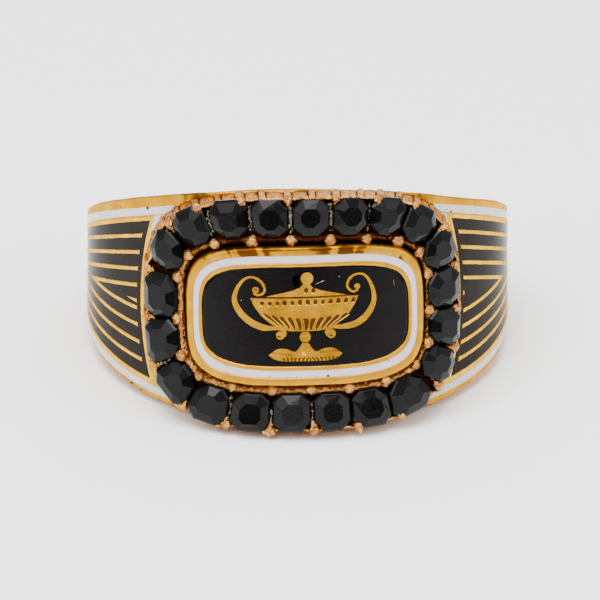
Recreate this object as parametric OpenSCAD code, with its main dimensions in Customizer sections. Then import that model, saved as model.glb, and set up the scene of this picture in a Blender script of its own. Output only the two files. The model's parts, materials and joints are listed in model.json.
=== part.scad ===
// Mourning ring of about 1800: a tapered gold hoop with black and white enamel
// shoulders, and a head of twenty-one black stones round an enamelled urn.
// The finger axis runs through the origin, the head faces -Y, and the whole
// ring leans so that it lies on its side as it would by itself.

/* [Hoop] */
// Inside diameter, for the finger
finger_d = 17.6; // [16:0.1:20]
// Thickness of the hoop's wall
wall = 1.2; // [1:0.05:1.6]
// Height of the hoop at its two sides
side_height = 5.5; // [5:0.1:6.2]
// Gain of half height for each millimetre towards the head
taper = 0.308; // [0.25:0.002:0.33]
// Height of the narrow plain back
back_height = 2.9; // [2.5:0.1:3.4]
// Length on each side of the bend over which the taper turns into the back
bend_length = 5; // [4:0.1:6]

/* [Enamel of the shoulders] */
// Depth of the cells cut for the enamel
cell_depth = 0.3; // [0.2:0.05:0.5]
// Gold left along the hoop's edge, beside the head
edge_at_head = 0.48; // [0.3:0.01:0.6]
// Gold left along the hoop's edge, at the sides
edge_at_side = 0.2; // [0.18:0.01:0.3]
// Width of the white stripe
stripe_w = 0.43; // [0.3:0.01:0.5]
// Width of the gold border round the black field
border_w = 0.26; // [0.15:0.01:0.35]
// Width of the gold lines in the black field
line_w = 0.21; // [0.12:0.01:0.3]
// Number of gold lines from the border to the innermost chevron
line_count = 4; // [2:1:4]
// Step from line to line at the sides
line_step = 0.61; // [0.58:0.01:0.66]
// Gain of that step for each millimetre towards the head
line_fan = 0.025; // [0.01:0.001:0.03]
// Black gap between the ends of the lines and the upright border
line_gap = 0.16; // [0.12:0.01:0.3]
// Distance of the upright border in front of the finger axis
border_front = 6.62; // [6.4:0.02:6.9]
// Radius of the upright border, seen from the side
border_r = 15.6; // [10:0.2:20]
// Where the white stripes run out under the head, in front of the finger axis
stripe_front = 8.4; // [7.9:0.1:8.6]
// Where the border closes to a point, behind the finger axis
field_tip = 6.8; // [6:0.1:7.2]
// Height above which white also fills the corner between border and head
corner_z = 1.5; // [1:0.1:2.5]
// How much lower the pattern sits on the left shoulder
drop_left = 0.12; // [0:0.01:0.12]
// How much lower the pattern sits on the right shoulder
drop_right = 0.09; // [0:0.01:0.12]

/* [Head] */
// Half length of the setting, measured round the curve
head_half_l = 8.15; // [7.8:0.05:8.4]
// Half height of the setting
head_half_h = 5.72; // [5.6:0.02:5.9]
// Squareness of the setting's outline
head_power = 3; // [2.8:0.1:3.6]
// Squareness of the row of stones and of the beads inside it
row_power = 3.4; // [3:0.1:3.6]
// Turn of the whole head on the hoop, in degrees
head_turn = 1.3; // [0:0.1:2]
// Height of the stones' girdles above the hoop
girdle_rise = 1.25; // [1.1:0.05:1.5]
// Distance of the row of stones inside the outline
row_inset = 1; // [0.95:0.01:1.1]
// Distance of the panel inside the outline
panel_inset = 2.36; // [2.3:0.01:2.45]
// Thickness of the setting's floor under the panel
floor_t = 0.3; // [0.2:0.02:0.35]
// How much the metal between the stones lies below the girdles
web_drop = 0.16; // [0.1:0.01:0.25]
// How much the groove round the panel lies below the girdles
groove_drop = 0.42; // [0.3:0.01:0.5]
// Radius of the big ribs filed on the outer wall
rib_r = 0.17; // [0.1:0.01:0.2]
// Radius of the small ribs between them
small_rib_r = 0.09; // [0.05:0.01:0.1]
// Radius of the outer claws
claw_r = 0.23; // [0.18:0.01:0.28]
// Radius of the inner beads
bead_r = 0.21; // [0.15:0.01:0.24]
// Distance of the inner beads from the row of stones at the head's ends
bead_end = 0.88; // [0.84:0.01:0.95]
// The same distance above and below the panel
bead_side = 1.1; // [1:0.01:1.12]
// Radius of a claw's post, as a share of its head
post_share = 0.85; // [0.7:0.05:0.95]

/* [Stones] */
// Size of a stone across the row
stone_across = 1.92; // [1.7:0.02:1.96]
// Thickness of a girdle
girdle_t = 0.12; // [0.08:0.01:0.2]
// Height of a crown above its girdle
crown_h = 0.32; // [0.2:0.01:0.4]
// Depth of a pavilion below its girdle
pavilion_h = 0.7; // [0.5:0.01:0.72]
// Width of a table, as a share of the stone
table_share = 0.5; // [0.4:0.01:0.6]
// Width of a culet, as a share of the stone
culet_share = 0.16; // [0.1:0.01:0.3]
// Cut of a stone's corners, as a share of half its width
corner_share = 0.42; // [0.3:0.01:0.55]
// Depth of the ledge under a girdle, as a share of the pavilion
ledge_share = 0.3; // [0.2:0.05:0.4]
// Width of the hole under that ledge, as a share of the stone
seat_share = 0.8; // [0.6:0.05:0.85]

/* [Panel] */
// Height of the panel's enamel above the hoop
panel_rise = 1.5; // [1.4:0.05:1.7]
// How far the gold rim stands above the enamel
rim_proud = 0.05; // [0:0.01:0.1]
// Width of the gold rim
rim_w = 0.39; // [0.3:0.01:0.45]
// Width of the white line
white_w = 0.36; // [0.25:0.01:0.42]
// Width of the gold line inside it
gold_line_w = 0.19; // [0.12:0.01:0.25]
// Squareness of the panel's outline
panel_power = 3.9; // [3:0.1:4.5]
// Depth of the panel's enamel
panel_depth = 0.3; // [0.2:0.01:0.4]
// Width of the panel's bands at its ends, as a share of their width above and below
end_share = 0.95; // [0.94:0.005:1]
// How far the panel sits to the right of the head's middle
panel_shift = 0.1; // [0:0.01:0.12]

/* [Urn] */
// Black left above and below the urn, inside the gold line
urn_room = 0.27; // [0.25:0.01:0.5]
// Depth of the engraving
engrave_depth = 0.06; // [0.03:0.01:0.1]

/* [Fit] */
// Gap between neighbouring pieces
gap = 0.02; // [0.01:0.005:0.03]

/* [Hidden] */
STONES = [for (i = [1 : 21]) str("stone_", i < 10 ? "0" : "", i)];

finger_r = finger_d / 2;
hoop_r = finger_r + wall;
side_half = side_height / 2;
back_half = back_height / 2;
head_half = side_half + taper * hoop_r;
girdle_r = hoop_r + girdle_rise;
panel_r = hoop_r + panel_rise;
tray_bottom = hoop_r + gap + floor_t + gap;
// The urn fills the height of the black field but for its room
urn_h = 2 * (head_half_h - panel_inset - rim_w - white_w - gold_line_w - urn_room);
far = 2 * (hoop_r + panel_rise + crown_h);
round_steps = 96;
fine = 180;
// How far the parts of one solid reach into each other
overlap = 0.1;

// Places of the stones: bearing round the head in degrees from its right end, and width
// along the row in percent: of the head's half length for a stone above or below, of
// its half height for one at an end, and of a size between them at the corners.
BEARING = 0;
WIDTH = 1;
stone_rows = [
    [144.5, 21.6], [128, 23.9], [109.5, 21.8], [86, 21.1], [64.5, 20.9], [49, 21.4], [35, 20.5],
    [21.5, 23.2], [6.5, 30.6], [-8.5, 28], [-22, 21.5], [-38.5, 26.7], [-55, 23.3], [-74, 20.8],
    [-96.5, 21.6], [-118.5, 23.9], [-135.5, 24], [-150.5, 25.6], [-167, 30.4], [-184, 30], [-202, 22.6]
];
// Height over length of the head on which those bearings are taken
bearing_shape = 0.7018;

// Tables of the urn, all in percent of its height. First the right half of foot
// and bowl, then of the lid: distance from the middle, and height.
ACROSS = 0;
UP = 1;
WIDE = 2;
urn_side = [
    [23.4, 0], [30.5, 1.2], [36.1, 3.3], [40.7, 7.2], [36.1, 10.7], [31.9, 13.5], [27, 14.6],
    [19.9, 13.8], [13.5, 10.9], [10.6, 10.9], [6.9, 14.9], [3.7, 19.9], [2.5, 21.5], [2.5, 33.6],
    [16.6, 34.2], [24.9, 36], [34.3, 40.2], [42.2, 46.2], [49, 52.8], [55.2, 61.7], [59.5, 71.4]
];
urn_lid = [
    [44.2, 70], [44.2, 73], [36.5, 74.8], [25.5, 77.3], [14.5, 79.8], [7, 83], [3.7, 86.5], [3, 91]
];
// Balls between foot and bowl, and on the lid: distance, height and radius.
urn_knop = [0, 27.3, 6.1];
urn_finial = [1, 93.1, 6.9];
// Handles from the lower curl to the upper one: distance, height and width.
urn_handles = [
    [
        [-23.6, 28.3, 3], [-21.6, 31.8, 3.2], [-24.5, 35.8, 3.2], [-30.5, 37.3, 3.6], [-38.3, 37.6, 5.2],
        [-46.2, 38.4, 7.2], [-56.4, 42.4, 7.6], [-66.5, 49.8, 7.3], [-73.3, 58.8, 6.8], [-76.7, 67.8, 5.9],
        [-75.6, 76.8, 4.7], [-71.6, 85.3, 3.6], [-65.4, 92.6, 2.8], [-57.5, 95, 2.2], [-50.2, 92.3, 3],
        [-44.8, 86.4, 3.1], [-43.4, 80.2, 2.8], [-46.2, 76.2, 2.6], [-51.8, 74.7, 2.4], [-55.6, 77, 2.8]
    ],
    [
        [24.8, 28.6, 3], [23, 32, 3.2], [26, 36, 3.2], [31.6, 37.7, 3.6], [39.4, 37.3, 5], [48.5, 38, 6.6],
        [57.5, 40.4, 7.2], [66.5, 46.4, 7.2], [73.3, 55.5, 6.4], [76.7, 64.4, 5.4], [76.5, 73.5, 4.7],
        [74.4, 81.3, 3.9], [71, 88.7, 3], [66.5, 94, 2.4], [60.9, 95.7, 2.2], [54.1, 94.2, 2.6],
        [49.1, 89.3, 2.8], [47.3, 83.6, 2.6], [49.4, 78.8, 2.6], [54.7, 75.8, 2.3], [59.4, 78.2, 2.6]
    ]
];
urn_curls = [[-27.3, 29.4, 4.7], [28.7, 29.9, 4.9], [-53.4, 80.4, 3.7], [58.4, 81.4, 3.3]];
// How far the lid sits to the right of the foot
lid_shift = 2.26;
// Engraved groove between lid and bowl: height of its lower edge, and width
groove_up = 71.4;
groove_wide = 1.47;
// Dots under the rim: number on each side, step, shift to the right, height and radius
dot_count = 6;
dot_step = 8.3;
dot_shift = 3.4;
dot_up = 65.5;
dot_r = 1.92;
// Flutes of the bowl: number on each side, step and height of their round heads,
// rise of the heads to the sides, step and height of their points, and radius
flute_count = 5;
flute_step = 8.3;
flute_up = 46.9;
flute_rise = 0.2;
flute_foot_step = 3;
flute_foot_up = 35.8;
flute_r = 2.26;
// Nicks along the foot: step, shift, height and radius
nick_step = 4.6;
nick_shift = 3;
nick_up = 3.4;
nick_r = 1;
// Two holes in the lid: distances from its middle, height and radius
hole_places = [-1, 7];
hole_up = 79.3;
hole_r = 1.58;

// Side outline of the hoop: a straight taper, an arc, and the narrow back.
bend_y = (side_half - back_half) / taper;
bend_angle = atan(taper);
bend_r = bend_length / tan(bend_angle / 2);
bend_end = bend_y + bend_length;
bend_start = bend_y - bend_length * cos(bend_angle);

function half_height(y) =
    y <= bend_start ? side_half - taper * y
    : y >= bend_end ? back_half
    : back_half + bend_r - sqrt(pow(bend_r, 2) - pow(bend_end - y, 2));

// Centre line of the field's border. Behind the finger axis it closes to a tip.
function edge_w(y) = edge_at_side + (edge_at_head - edge_at_side) * max(-y, 0) / hoop_r;
function border_open(y) = half_height(y) - edge_w(y) - stripe_w - border_w / 2;
border_close = border_open(field_tip) / pow(field_tip, 2);
function border_z(y) = border_open(y) - border_close * pow(max(y, 0), 2);

// Line number k inside the border, moved outwards by e.
function line_z(y, k, e) = border_z(y) - k * (line_step - line_fan * y) + e;
function tip_between(k, e, lo, hi, n) =
    n == 0 ? (lo + hi) / 2
    : line_z((lo + hi) / 2, k, e) > 0 ? tip_between(k, e, (lo + hi) / 2, hi, n - 1)
    : tip_between(k, e, lo, (lo + hi) / 2, n - 1);
function line_tip(k, e) = tip_between(k, e, -hoop_r, hoop_r, 20);

// Outline of the head on the unrolled surface, and its bend round the finger.
function oval_r(bearing, l, h, n) =
    pow(pow(abs(cos(bearing)) / l, n) + pow(abs(sin(bearing)) / h, n), -1 / n);
function on_oval(bearing, inset, n) =
    oval_r(bearing - head_turn, head_half_l - inset, head_half_h - inset, n) * [cos(bearing), sin(bearing)];
function on_head(bearing, inset) = on_oval(bearing, inset, head_power);
function on_row(bearing) = on_oval(bearing, row_inset, row_power);
function row_normal(bearing) = let (b = bearing - head_turn) head_turn + atan2(
    sign(sin(b)) * pow(abs(sin(b)), row_power - 1) / pow(head_half_h - row_inset, row_power),
    sign(cos(b)) * pow(abs(cos(b)), row_power - 1) / pow(head_half_l - row_inset, row_power)
);
function bead_point(bearing) = let (n = row_normal(bearing))
    on_row(bearing) - [bead_end * cos(n), bead_side * sin(n)];
function round_angle(s) = s / girdle_r * 180 / PI;
function bend_point(p) = [girdle_r * sin(round_angle(p[0])), p[1]];
function oval(l, h, n) = [
    for (i = [0 : round_steps - 1]) let (
        a = 360 * i / round_steps,
        x = l * sign(cos(a)) * pow(abs(cos(a)), 2 / n),
        y = h * sign(sin(a)) * pow(abs(sin(a)), 2 / n)
    ) bend_point([x * cos(head_turn) - y * sin(head_turn), x * sin(head_turn) + y * cos(head_turn)])
];
function head_oval(inset) = oval(head_half_l - inset, head_half_h - inset, head_power);
function row_oval(inset) = oval(head_half_l - inset, head_half_h - inset, row_power);

// Bearings and widths on this head: of stone i, and half way to the next one.
function on_this_head(b) = atan2(sin(b) * head_half_h, cos(b) * head_half_l * bearing_shape);
function bearing(i) = on_this_head(stone_rows[i][BEARING]);
function next_row(i) = i < len(stone_rows) - 1 ? stone_rows[i + 1][BEARING] : stone_rows[0][BEARING] - 360;
function between(i) = on_this_head((stone_rows[i][BEARING] + next_row(i)) / 2);
function stone_w(i) = let (b = stone_rows[i][BEARING])
    stone_rows[i][WIDTH] / 100 * (head_half_l * pow(sin(b), 2) + head_half_h * pow(cos(b), 2));

// Lean at which the ring lies on the lower side of its setting and its back.
function lean_at(x, r, z) = atan((z - back_half) / (hoop_r + sqrt(pow(r, 2) - pow(x, 2))));
head_leans = [
    for (i = [0 : len(stone_rows) - 1]) let (p = bend_point(on_head(between(i), 0)))
    if (p[1] < 0) lean_at(p[0], hoop_r + gap, rib_r / 2 - p[1])
];
lean = max(concat(head_leans, [lean_at(0, hoop_r, head_half)]));

// The whole ring lies at its lean.
module laid() {
    rotate([-lean, 0, 0]) children();
}

// Everything between two radii round the finger.
module shell(r0, r1) {
    difference() {
        cylinder(h = far, r = r1, center = true, $fn = fine);
        cylinder(h = far + 2, r = r0, center = true, $fn = fine);
    }
}

// A shape seen from the side, run through the ring or through one half of it.
module from_side(length, center = true) {
    rotate([90, 0, 90]) linear_extrude(height = length, center = center) children();
}

// A shape seen from the front, run through the head.
module from_front() {
    rotate([90, 0, 0]) linear_extrude(height = far / 2) children();
}

// A place on the head: x along the curve, y up and z outwards.
module on_surface(p) {
    rotate([0, 0, round_angle(p[0])]) translate([0, 0, p[1]]) rotate([90, 0, 0]) children();
}

// Half the pattern's outline from the head to the tip of line k, both sides.
module wedge(k, e) {
    tip = line_tip(k, e);
    ys = concat([-hoop_r], [for (y = [0 : 1 : hoop_r]) if (y < tip - 0.2) y]);
    polygon(concat(
        [for (y = ys) if (y < tip) [y, line_z(y, k, e)]],
        [[tip, 0]],
        [for (i = [len(ys) - 1 : -1 : 0]) if (ys[i] < tip) [ys[i], -line_z(ys[i], k, e)]]
    ));
}

module border_disc(e) {
    translate([-border_front - border_r, 0]) circle(r = border_r + e, $fn = fine);
}

// The black field is a comb: chevron lines of gold end short of its front.
module black_shape(g) {
    difference() {
        wedge(0, -border_w / 2 - g);
        border_disc(border_w / 2 + g);
        for (k = [1 : line_count]) difference() {
            wedge(k, line_w / 2 + g);
            wedge(k, -line_w / 2 - g);
            border_disc(border_w / 2 + line_gap - g);
        }
    }
}

// The white stripe goes round the field, with a filled corner beside the head.
module white_shape(g) {
    difference() {
        wedge(0, border_w / 2 + stripe_w - g);
        difference() {
            wedge(0, border_w / 2 + g);
            intersection() {
                border_disc(-border_w / 2 - g);
                translate([-far, corner_z + g]) square([far, far]);
            }
        }
        translate([-far - stripe_front + g, -far / 2]) square([far, far]);
    }
}

module left_side() {
    mirror([1, 0, 0]) from_side(far / 2, false) translate([0, -drop_left]) children();
}

module right_side() {
    from_side(far / 2, false) translate([0, -drop_right]) children();
}

module enamel_shell() {
    shell(hoop_r - cell_depth + gap, hoop_r);
}

module hoop_outline() {
    ys = concat([-far / 2, bend_start], [for (i = [1 : 9]) bend_start + (bend_end - bend_start) * i / 10],
        [bend_end, far / 2]);
    polygon(concat(
        [for (y = ys) [y, half_height(y)]],
        [for (i = [len(ys) - 1 : -1 : 0]) [ys[i], -half_height(ys[i])]]
    ));
}

module hoop() {
    color("#dda854") laid() difference() {
        intersection() {
            shell(finger_r, hoop_r);
            from_side(far) hoop_outline();
        }
        intersection() {
            shell(hoop_r - cell_depth, hoop_r + 1);
            union() {
                left_side() black_shape(0);
                left_side() white_shape(0);
                right_side() black_shape(0);
                right_side() white_shape(0);
            }
        }
    }
}

module white_enamel_left() {
    color("#cfcdd2") laid() intersection() {
        enamel_shell();
        left_side() white_shape(gap);
    }
}

module white_enamel_right() {
    color("#cfcdd2") laid() intersection() {
        enamel_shell();
        right_side() white_shape(gap);
    }
}

module black_enamel_left() {
    color("#242426") laid() intersection() {
        enamel_shell();
        left_side() black_shape(gap);
    }
}

module black_enamel_right() {
    color("#242426") laid() intersection() {
        enamel_shell();
        right_side() black_shape(gap);
    }
}

// Eight corners of a stone's outline, at a share of its size and a height.
function stone_ring(w, t, share, h) = let (
    a = w / 2 * share,
    b = t / 2 * share,
    c = corner_share * min(a, b)
) [
    [a, c - b, h], [a, b - c, h], [a - c, b, h], [c - a, b, h],
    [-a, b - c, h], [-a, c - b, h], [c - a, -b, h], [a - c, -b, h]
];
function flat_ring(w, t) = [for (p = stone_ring(w, t, 1, 0)) [p[0], p[1]]];

// The place of stone i, turned so that it faces outwards.
module at_stone(i) {
    on_surface(on_row(bearing(i))) rotate([0, 0, row_normal(bearing(i)) - 90]) children();
}

// A stone cut with a table, eight crown facets, eight pavilion facets and a culet.
module stone(i) {
    w = stone_w(i);
    rings = [
        stone_ring(w, stone_across, culet_share, girdle_r - girdle_t - pavilion_h),
        stone_ring(w, stone_across, 1, girdle_r - girdle_t),
        stone_ring(w, stone_across, 1, girdle_r),
        stone_ring(w, stone_across, table_share, girdle_r + crown_h)
    ];
    sides = [
        for (r = [0 : 2]) for (c = [0 : 7]) let (d = (c + 1) % 8)
        [r * 8 + c, r * 8 + 8 + c, r * 8 + 8 + d, r * 8 + d]
    ];
    color("#1c1b1c") laid() at_stone(i) polyhedron(
        points = [for (r = rings) for (p = r) p],
        faces = concat([[for (c = [0 : 7]) c]], sides, [[for (c = [7 : -1 : 0]) 24 + c]])
    );
}

// Pocket for stone i: wide at the girdle, narrower round the pavilion.
module pocket(i) {
    w = stone_w(i) + 2 * gap;
    t = stone_across + 2 * gap;
    ledge = girdle_t + ledge_share * pavilion_h;
    at_stone(i) {
        translate([0, 0, girdle_r - ledge]) linear_extrude(height = ledge + crown_h + claw_r)
            polygon(flat_ring(w, t));
        translate([0, 0, girdle_r - girdle_t - pavilion_h - gap]) linear_extrude(height = pavilion_h)
            polygon(seat_share * flat_ring(w, t));
    }
}

// A claw: a post with a round head.
module claw(p, r, foot, top) {
    on_surface(p) {
        translate([0, 0, foot]) cylinder(h = top - foot, r = post_share * r, $fn = 24);
        translate([0, 0, top]) sphere(r = r, $fn = 24);
    }
}

module panel_shape(inset) {
    translate([panel_shift, 0])
        polygon(oval(head_half_l - end_share * inset, head_half_h - inset, panel_power));
}

module setting() {
    wall_top = girdle_r - girdle_t / 2;
    last = len(stone_rows) - 1;
    color("#d9a284") laid() difference() {
        union() {
            intersection() {
                shell(hoop_r + gap, wall_top);
                from_front() difference() {
                    union() {
                        polygon(head_oval(0));
                        for (i = [0 : last]) {
                            translate(bend_point(on_head(between(i), rib_r / 2)))
                                circle(r = rib_r, $fn = 10);
                            translate(bend_point(on_head(bearing(i), small_rib_r / 2)))
                                circle(r = small_rib_r, $fn = 8);
                        }
                    }
                    polygon(head_oval(row_inset - stone_across / 2 + overlap));
                }
            }
            intersection() {
                shell(hoop_r + gap, girdle_r - web_drop);
                from_front() difference() {
                    polygon(head_oval(row_inset - stone_across / 2));
                    polygon(row_oval(row_inset + stone_across / 2 - overlap));
                }
            }
            intersection() {
                shell(hoop_r + gap, girdle_r - groove_drop);
                from_front() polygon(row_oval(row_inset));
            }
            for (i = [0 : last]) {
                claw(on_head(between(i), claw_r / 2), claw_r, girdle_r - groove_drop, girdle_r);
                claw(bead_point(between(i)), bead_r, girdle_r - groove_drop - bead_r, girdle_r - gap);
            }
        }
        for (i = [0 : last]) pocket(i);
        // Room for the tray
        intersection() {
            shell(tray_bottom - gap, far / 2);
            from_front() panel_shape(panel_inset - gap);
        }
    }
}

module panel_tray() {
    color("#dda854") laid() difference() {
        intersection() {
            shell(tray_bottom, panel_r + rim_proud);
            from_front() panel_shape(panel_inset);
        }
        intersection() {
            shell(panel_r, far / 2);
            from_front() panel_shape(panel_inset + rim_w);
        }
        intersection() {
            shell(panel_r - panel_depth, far / 2);
            from_front() union() {
                difference() {
                    panel_shape(panel_inset + rim_w);
                    panel_shape(panel_inset + rim_w + white_w);
                }
                panel_shape(panel_inset + rim_w + white_w + gold_line_w);
            }
        }
    }
}

module panel_white_enamel() {
    color("#cfcdd2") laid() intersection() {
        shell(panel_r - panel_depth + gap, panel_r);
        from_front() difference() {
            panel_shape(panel_inset + rim_w + gap);
            panel_shape(panel_inset + rim_w + white_w - gap);
        }
    }
}

module panel_black_enamel() {
    color("#242426") laid() intersection() {
        shell(panel_r - panel_depth + gap, panel_r);
        difference() {
            from_front() panel_shape(panel_inset + rim_w + white_w + gold_line_w + gap);
            urn_block(gap);
        }
    }
}

// A row of the urn's tables as a point of the panel, where its middle is the origin.
function urn_point(p) = [p[ACROSS], p[UP] - 50] * urn_h / 100;
function urn_size(share) = share * urn_h / 100;
function both_sides(rows) = concat(
    [for (p = rows) urn_point(p)],
    [for (i = [len(rows) - 1 : -1 : 0]) urn_point([-rows[i][ACROSS], rows[i][UP]])]
);

// An outline grown by g on all sides.
function grown(rows, g) = [
    for (i = [0 : len(rows) - 1]) let (
        b = rows[i],
        u = b - rows[(i + len(rows) - 1) % len(rows)],
        v = rows[(i + 1) % len(rows)] - b,
        m = [u[1], -u[0]] / norm(u),
        n = [v[1], -v[0]] / norm(v)
    ) b + g * (m + n) / max(1 + m * n, 0.5)
];

// Point t of a smooth curve through the rows of a table, after row i.
function row_at(rows, i) = rows[min(max(i, 0), len(rows) - 1)];
function curve(rows, i, t) = let (
    a = row_at(rows, i - 1),
    b = row_at(rows, i),
    c = row_at(rows, i + 1),
    d = row_at(rows, i + 2)
) 0.5 * (2 * b + (c - a) * t + (2 * a - 5 * b + 4 * c - d) * t * t + (3 * b - 3 * c + d - a) * t * t * t);
function smooth(rows) = [for (i = [0 : len(rows) - 1]) for (t = [0, 1 / 2]) curve(rows, i, t)];
function handle_side(rows, i, side, g) = let (
    p = rows[i],
    q = urn_point(row_at(rows, i + 1)) - urn_point(row_at(rows, i - 1)),
    n = side * [-q[1], q[0]] / norm(q)
) urn_point(p) + n * (urn_size(p[WIDE]) / 2 + g);

module urn_ball(p, g) {
    translate(urn_point(p)) circle(r = urn_size(p[WIDE]) + g, $fn = 32);
}

module from_panel() {
    from_front() rotate(head_turn) children();
}

// The urn's forms run through the panel, grown by g.
module urn_block(g) {
    from_panel() polygon(grown(both_sides(urn_side), g));
    from_panel() urn_ball(urn_knop, g);
    from_panel() translate([urn_size(lid_shift), 0]) polygon(grown(both_sides(urn_lid), g));
    from_panel() translate([urn_size(lid_shift), 0]) urn_ball(urn_finial, g);
    for (p = urn_curls) from_panel() urn_ball(p, g);
    for (h = urn_handles) let (rows = smooth(h), last = len(rows) - 2) from_panel() polygon(concat(
        [for (i = [0 : last]) handle_side(rows, i, 1, g)],
        [for (i = [last : -1 : 0]) handle_side(rows, i, -1, g)]
    ));
}

// Engraving: dots under the rim, flutes on the bowl, a groove under the lid,
// two holes in it and nicks along the foot.
module urn_engraving() {
    for (i = [-dot_count : dot_count])
        translate(urn_point([dot_shift + dot_step * i, dot_up])) circle(r = urn_size(dot_r), $fn = 16);
    for (i = [-flute_count : flute_count]) let (
        head = urn_point([flute_step * i, flute_up + flute_rise * i * i]),
        foot = urn_point([flute_foot_step * i, flute_foot_up]),
        u = (head - foot) / norm(head - foot) * 0.9 * urn_size(flute_r)
    ) {
        translate(head) circle(r = urn_size(flute_r), $fn = 16);
        polygon([foot, head + [u[1], -u[0]], head + [-u[1], u[0]]]);
    }
    for (i = [-5 : 6]) translate(urn_point([nick_step * i + nick_shift, nick_up]))
        circle(r = urn_size(nick_r), $fn = 12);
    for (u = hole_places)
        translate(urn_point([u + lid_shift, hole_up])) circle(r = urn_size(hole_r), $fn = 12);
    translate(urn_point([-50, groove_up])) square([urn_h, urn_size(groove_wide)]);
}

module urn() {
    color("#e0b050") laid() difference() {
        intersection() {
            shell(panel_r - panel_depth + gap, panel_r);
            urn_block(0);
        }
        intersection() {
            shell(panel_r - engrave_depth, far / 2);
            from_panel() urn_engraving();
        }
    }
}

hoop();
white_enamel_left();
white_enamel_right();
black_enamel_left();
black_enamel_right();
setting();
panel_tray();
panel_white_enamel();
panel_black_enamel();
urn();
for (i = [0 : len(STONES) - 1]) stone(i);
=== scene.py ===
"""Looks of the mourning ring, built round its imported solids.

Each piece is shaped in millimetres with the finger axis upright through the
origin and the head towards -Y, and is then laid on its side in metres.
"""

import bisect
import json
import math
import random

import bmesh
import bpy
from mathutils import Matrix, Vector, noise


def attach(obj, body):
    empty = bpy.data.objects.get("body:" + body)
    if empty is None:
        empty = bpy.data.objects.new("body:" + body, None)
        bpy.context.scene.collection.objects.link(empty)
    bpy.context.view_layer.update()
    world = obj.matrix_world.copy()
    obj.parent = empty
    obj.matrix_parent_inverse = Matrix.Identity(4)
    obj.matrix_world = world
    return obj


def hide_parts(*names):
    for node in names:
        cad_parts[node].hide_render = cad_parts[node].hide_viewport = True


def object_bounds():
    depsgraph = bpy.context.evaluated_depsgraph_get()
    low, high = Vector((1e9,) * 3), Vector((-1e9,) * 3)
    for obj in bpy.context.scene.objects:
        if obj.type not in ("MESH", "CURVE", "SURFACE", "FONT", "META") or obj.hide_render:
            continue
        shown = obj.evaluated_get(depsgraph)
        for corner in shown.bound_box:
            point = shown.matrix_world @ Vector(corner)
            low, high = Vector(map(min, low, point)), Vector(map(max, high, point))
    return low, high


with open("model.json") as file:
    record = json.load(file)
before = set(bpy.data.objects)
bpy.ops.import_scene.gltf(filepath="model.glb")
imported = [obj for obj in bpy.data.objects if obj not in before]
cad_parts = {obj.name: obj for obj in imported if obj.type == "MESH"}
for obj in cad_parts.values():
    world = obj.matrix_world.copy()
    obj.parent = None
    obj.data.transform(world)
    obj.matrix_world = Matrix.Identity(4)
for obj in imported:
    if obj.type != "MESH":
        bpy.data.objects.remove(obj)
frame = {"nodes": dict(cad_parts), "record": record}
cad_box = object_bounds()
random.seed(1800)

# Sizes in millimetres, as in the part's source
MM = 0.001
FINGER_R = 8.8
HOOP_R = 10.0
SIDE_HALF = 2.75
BACK_HALF = 1.45
TAPER = 0.308
BEND_LENGTH = 5.0
EDGE_AT_HEAD = 0.48
EDGE_AT_SIDE = 0.2
STRIPE = 0.43
BORDER = 0.26
LINE = 0.21
LINE_STEP = {-1: 0.573, 1: 0.65}
LINE_FAN = {-1: 0.0359, 1: 0.0147}
LINE_GAP = 0.16
BORDER_FRONT = {-1: 6.58, 1: 6.68}
BORDER_R = 15.6
UPRIGHT = {-1: 0.18, 1: 0.24}
STRIPE_FRONT = 8.4
FIELD_TIP = 6.8
CORNER_Z = 1.5
DROP = {-1: 0.15, 1: 0.09}
HEAD_L = 8.15
HEAD_H = 5.72
HEAD_POWER = 3.0
POWER_GAIN = 0.4
HEAD_TURN = math.radians(1.3)
GIRDLE_R = 11.25
ROW_INSET = 1.0
ROW_SWELL = 0.06
COLLAR_L = 0.047
COLLAR_H = 0.066
STONE_ACROSS = 1.92
GIRDLE_T = 0.12
CROWN = 0.32
PAVILION = 0.7
CULET = 0.16
TRAY_INSET = 2.28
FIELD_INSET = 3.2
PANEL_L = 0.142
PANEL_R = 11.5
PANEL_POWER = 3.9
PANEL_SHIFT = 0.1
SHIFT_FROM = 1.4
SHIFT_OVER = 0.8
BEAD_END = 0.88
BEAD_SIDE = 1.1

# Stones: bearing round the head in degrees, and width in percent of the head's
# half length above and below, and of its half height at the ends
STONES = [
    (144.5, 21.6), (128, 23.9), (109.5, 21.8), (86, 21.1), (64.5, 20.9), (49, 21.4), (35, 20.5),
    (21.5, 23.2), (6.5, 30.6), (-8.5, 28), (-22, 21.5), (-38.5, 26.7), (-55, 23.3), (-74, 20.8),
    (-96.5, 21.6), (-118.5, 23.9), (-135.5, 24), (-150.5, 25.6), (-167, 30.4), (-184, 30), (-202, 22.6),
]

finger_axis = Vector(frame["record"]["mounts"][0]["axis"])
lay_down = Vector((0, 0, 1)).rotation_difference(finger_axis).to_matrix().to_4x4()


# Side outline of the hoop and the pattern of its shoulders
bend_angle = math.atan(TAPER)
bend_r = BEND_LENGTH / math.tan(bend_angle / 2)
bend_end = (SIDE_HALF - BACK_HALF) / TAPER + BEND_LENGTH
bend_start = (SIDE_HALF - BACK_HALF) / TAPER - BEND_LENGTH * math.cos(bend_angle)


def half_height(y):
    if y <= bend_start:
        return SIDE_HALF - TAPER * y
    if y >= bend_end:
        return BACK_HALF
    return BACK_HALF + bend_r - math.sqrt(bend_r**2 - (bend_end - y) ** 2)


def border_open(y):
    edge = EDGE_AT_SIDE + (EDGE_AT_HEAD - EDGE_AT_SIDE) * max(-y, 0) / HOOP_R
    return half_height(y) - edge - STRIPE - BORDER / 2


def border_z(y):
    return border_open(y) - border_open(FIELD_TIP) / FIELD_TIP**2 * max(y, 0) ** 2


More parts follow.
